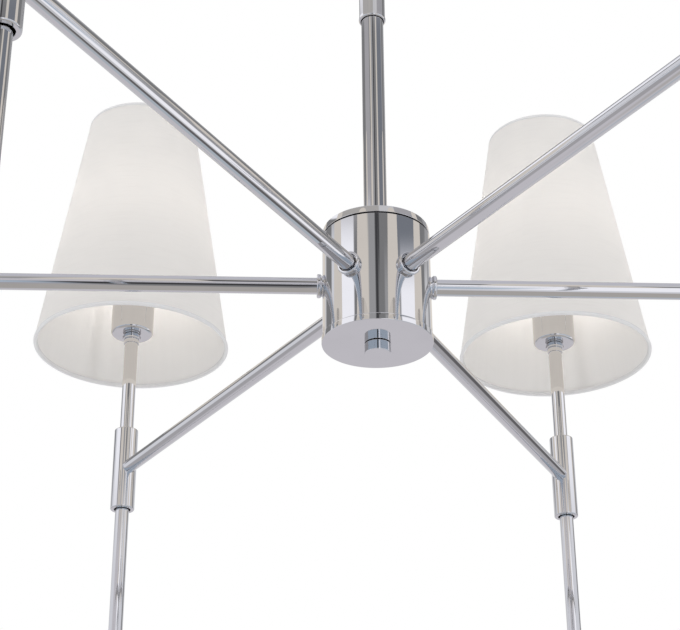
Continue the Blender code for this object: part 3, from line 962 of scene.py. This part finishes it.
class CHANDELIER_OT_make_bulbs(bpy.types.Operator):
    """Makes the candle bulbs: a screw cap with its thread, and lit opal glass"""

    bl_idname = "chandelier.make_bulbs"
    bl_label = "Make Bulbs"

    def execute(self, context):
        sizes = context.scene.chandelier_sizes
        for n in ARMS:
            seat = high(f"lampholder_{n}") - ARM_PLANE + BULB_GAP
            self.make_glass(n, sizes, seat)
            self.make_cap(n, seat)
        return {"FINISHED"}

    def make_glass(self, n, sizes, seat):
        """A candle bulb, widest a third of the way up, that draws in to a point."""
        tip = high(f"bulb_{n}") - ARM_PLANE
        wide, neck, widest = sizes.glass_radius, 0.0068, 0.34
        outline = [(neck - 0.0004, seat - 0.0020)]
        steps = 26
        for i in range(steps + 1):
            t = i / steps
            swell = math.sin(math.pi * 0.5 * min(t / widest, 1.0)) ** 1.2
            fade = max(0.0, (t - widest) / (1.0 - widest))
            radius = (neck + (wide - neck) * swell) * (1.0 - fade ** 1.9) ** 0.72
            outline.append((radius, seat + (tip - seat) * t))
        outline[-1] = (0.0, tip)
        mesh = turned(outline, 0.0, wide, 48, ring=False)
        lamp_piece(n, f"bulb_{n}_glass", mesh, opal_glass(), f"bulb_{n}", "bulb_glass",
                   [f"bulb_{n}"], weighted=False)

    def make_cap(self, n, top):
        """The screw cap, from its centre contact up through its thread to the glass."""
        contact = low(f"bulb_{n}") - ARM_PLANE
        wide = 0.0068
        groove, rim_bore, rim_floor = wide - 0.0008, wide - 0.0005, top - 0.0010
        outline = [(0.0, contact), (0.0026, contact + 0.0004), (0.0034, contact + 0.0016),
                   (groove, contact + 0.0026)]
        start, pitch, turns = contact + 0.0040, 0.0028, 5
        for turn in range(turns):
            base = start + turn * pitch
            outline += [(groove, base), (wide, base + 0.0008), (groove, base + 0.0016)]
        outline += [(wide - 0.0002, top - 0.0016), (wide, top), (rim_bore, top),
                    (rim_bore, rim_floor), (0.0, rim_floor)]
        mesh = turned(outline, 0.0, wide, 48, ring=False)
        lamp_piece(n, f"bulb_{n}_cap", mesh, zinc_plating(), f"bulb_{n}", "zinc_steel")


# ---- shades ----
class CHANDELIER_OT_make_shades(bpy.types.Operator):
    """Makes the tapered shades: cloth, lining, rolled rim tapes, back seam and wire fitter"""

    bl_idname = "chandelier.make_shades"
    bl_label = "Make Shades"

    def execute(self, context):
        sizes = context.scene.chandelier_sizes
        for n in ARMS:
            self.foot, self.head = above_arms(f"shade_{n}")
            cloth = self.make_wall(n, "cloth", shade_cloth(), SHADE_INSET, [f"shade_{n}"])
            trims = [
                self.make_tape(n, sizes, "top_tape", self.head, SHADE_HEAD_RADIUS, 1),
                self.make_tape(n, sizes, "bottom_tape", self.foot, SHADE_FOOT_RADIUS, -1),
                self.make_seam(n),
            ]
            glue = 0.0001
            self.make_wall(n, "lining", shade_lining(), SHADE_INSET + SHADE_LAYER + glue, [])
            self.make_fitter(n, sizes)
            self.declare(cloth, trims)
        return {"FINISHED"}

    def add(self, n, part, mesh, material, replaced=()):
        return lamp_piece(n, f"shade_{n}_{part}", mesh, material, f"shade_{n}", "shade_fabric",
                          replaced, weighted=False)

    def wall_radius(self, height):
        share = (height - self.foot) / (self.head - self.foot)
        return SHADE_FOOT_RADIUS + share * (SHADE_HEAD_RADIUS - SHADE_FOOT_RADIUS)

    def make_wall(self, n, part, material, inset, replaced):
        """One layer of the cone, tucked a little under the tapes at both ends."""
        tuck = 0.0006
        foot, head = self.foot + tuck, self.head - tuck
        steps = 20
        heights = [foot + (head - foot) * i / steps for i in range(steps + 1)]
        outline = [(self.wall_radius(z) - inset, z) for z in heights]
        outline += [(self.wall_radius(z) - inset - SHADE_LAYER, z) for z in reversed(heights)]
        mesh = turned(outline, 0.0, self.wall_radius((foot + head) / 2), 96)
        return self.add(n, part, mesh, material, replaced)

    def make_tape(self, n, sizes, part, end, radius, side):
        """A tape rolled over the wire at an edge; side is 1 at the top, -1 at the bottom."""
        thick, pinch = 0.0014, 0.0002
        lean = (SHADE_FOOT_RADIUS - SHADE_HEAD_RADIUS) / (self.head - self.foot)
        aside = side * lean * sizes.rim_height
        far = end - side * sizes.rim_height
        roll = [(radius - thick + thick * math.cos(t), end - side * thick * (1 - math.sin(t)))
                for t in (math.radians(a) for a in range(0, 181, 22))]
        outline = [(radius - pinch + aside, far)] + roll
        outline += [(radius - 2 * thick + pinch + aside, far)]
        mesh = turned(outline, 0.0, radius, 96)
        return self.add(n, part, mesh, shade_tape())

    def make_seam(self, n):
        """The lapped joint down the wall, on the side away from the hub."""
        tuck = 0.0030
        foot, head = self.foot + tuck, self.head - tuck
        steps, lap, proud = 16, 0.008, 0.00015
        mesh = bmesh.new()
        layer = mesh.loops.layers.uv.new("UVMap")
        rows = []
        for i in range(steps + 1):
            z = foot + (head - foot) * i / steps
            radius = self.wall_radius(z) - SHADE_INSET + proud
            half = lap / 2 / radius
            rows.append([mesh.verts.new((radius * math.cos(t), radius * math.sin(t), z))
                         for t in (-half, 0.0, half)])
        edges = [mesh.edges.new(pair) for row in rows for pair in zip(row, row[1:])]
        bmesh.ops.bridge_loops(mesh, edges=edges)
        for face in mesh.faces:
            for loop in face.loops:
                loop[layer].uv = (loop.vert.co.y, loop.vert.co.z)
        bmesh.ops.recalc_face_normals(mesh, faces=mesh.faces)
        if sum(face.normal.x for face in mesh.faces) < 0:
            bmesh.ops.reverse_faces(mesh, faces=mesh.faces)
        bmesh.ops.solidify(mesh, geom=mesh.faces, thickness=0.0003)
        return self.add(n, "seam", mesh, shade_cloth())

    def make_fitter(self, n, sizes):
        """A flat ring that drops on the lampholder, and three spokes out to the wall."""
        flange, thick, wire, root = 0.0014, 0.0015, 0.0011, 0.0165
        foot = high(f"cup_{n}") - ARM_PLANE + 2 * sizes.fit + flange
        bore = sizes.holder_radius + 0.0004
        mesh = softened(spun(tube(FITTER_RADIUS, bore, foot, foot + thick), 64), 0.0003)
        reach = self.wall_radius(foot) - sizes.shade_wall
        turned_by = math.copysign(math.radians(21), LAMPS[n].x)
        spokes = 3
        for i in range(spokes):
            spoke = softened(spun([(0.0, root), (wire, root), (wire, reach), (0.0, reach)],
                                  16, ring=False), 0.0002)
            turn = Matrix.Rotation(turned_by + math.tau * i / spokes, 4, "Z")
            rise = Matrix.Translation((0, 0, foot + thick / 2))
            moved(spoke, turn @ rise @ LAID_OUT)
            data = bpy.data.meshes.new("spoke")
            spoke.to_mesh(data)
            spoke.free()
            mesh.from_mesh(data)
            bpy.data.meshes.remove(data)
        unwrapped(mesh, FITTER_RADIUS)
        lamp_piece(n, f"shade_{n}_fitter", mesh, painted_wire(), f"shade_{n}", "white_plastic")

    def declare(self, cloth, trims):
        """Takes no step. The cloth is one sector of a ring, cut flat and rolled into the cone."""


class CHANDELIER_OT_dress_hidden_steel(bpy.types.Operator):
    """Gives the strap, the nut and the stud inside the hub their zinc plating"""

    bl_idname = "chandelier.dress_hidden_steel"
    bl_label = "Dress Hidden Steel"

    def execute(self, context):
        for node in ("mounting_bracket", "hub_nut", "tie_rod"):
            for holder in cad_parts[node].material_slots:
                holder.material = zinc_plating()
        return {"FINISHED"}


# ---- add-on ----
STEPS = (
    CHANDELIER_OT_set_stage,
    CHANDELIER_OT_make_ceiling_end,
    CHANDELIER_OT_make_hub,
    CHANDELIER_OT_make_arms,
    CHANDELIER_OT_make_lamps,
    CHANDELIER_OT_make_ring_nuts,
    CHANDELIER_OT_make_bulbs,
    CHANDELIER_OT_make_shades,
    CHANDELIER_OT_dress_hidden_steel,
)


class CHANDELIER_PT_panel(bpy.types.Panel):
    """Lists the chandelier's pieces in the order they are made"""

    bl_label = "Chandelier"
    bl_idname = "CHANDELIER_PT_panel"
    bl_space_type = "VIEW_3D"
    bl_region_type = "UI"
    bl_category = "Chandelier"

    def draw(self, context):
        for step in STEPS:
            self.layout.operator(step.bl_idname)


SETTINGS = {
    "chandelier_sizes": ChandelierSizes,
    "chandelier_finishes": ChandelierFinishes,
    "chandelier_studio": StudioSettings,
}


def register():
    for group in SETTINGS.values():
        bpy.utils.register_class(group)
    for name, group in SETTINGS.items():
        setattr(bpy.types.Scene, name, PointerProperty(type=group))
    for step in STEPS:
        bpy.utils.register_class(step)
    bpy.utils.register_class(CHANDELIER_PT_panel)


def unregister():
    bpy.utils.unregister_class(CHANDELIER_PT_panel)
    for step in reversed(STEPS):
        bpy.utils.unregister_class(step)
    for name, group in SETTINGS.items():
        delattr(bpy.types.Scene, name)
        bpy.utils.unregister_class(group)


def main():
    register()
    for step in STEPS:
        group, name = step.bl_idname.split(".")
        getattr(getattr(bpy.ops, group), name)()


if __name__ == "__main__":
    main()
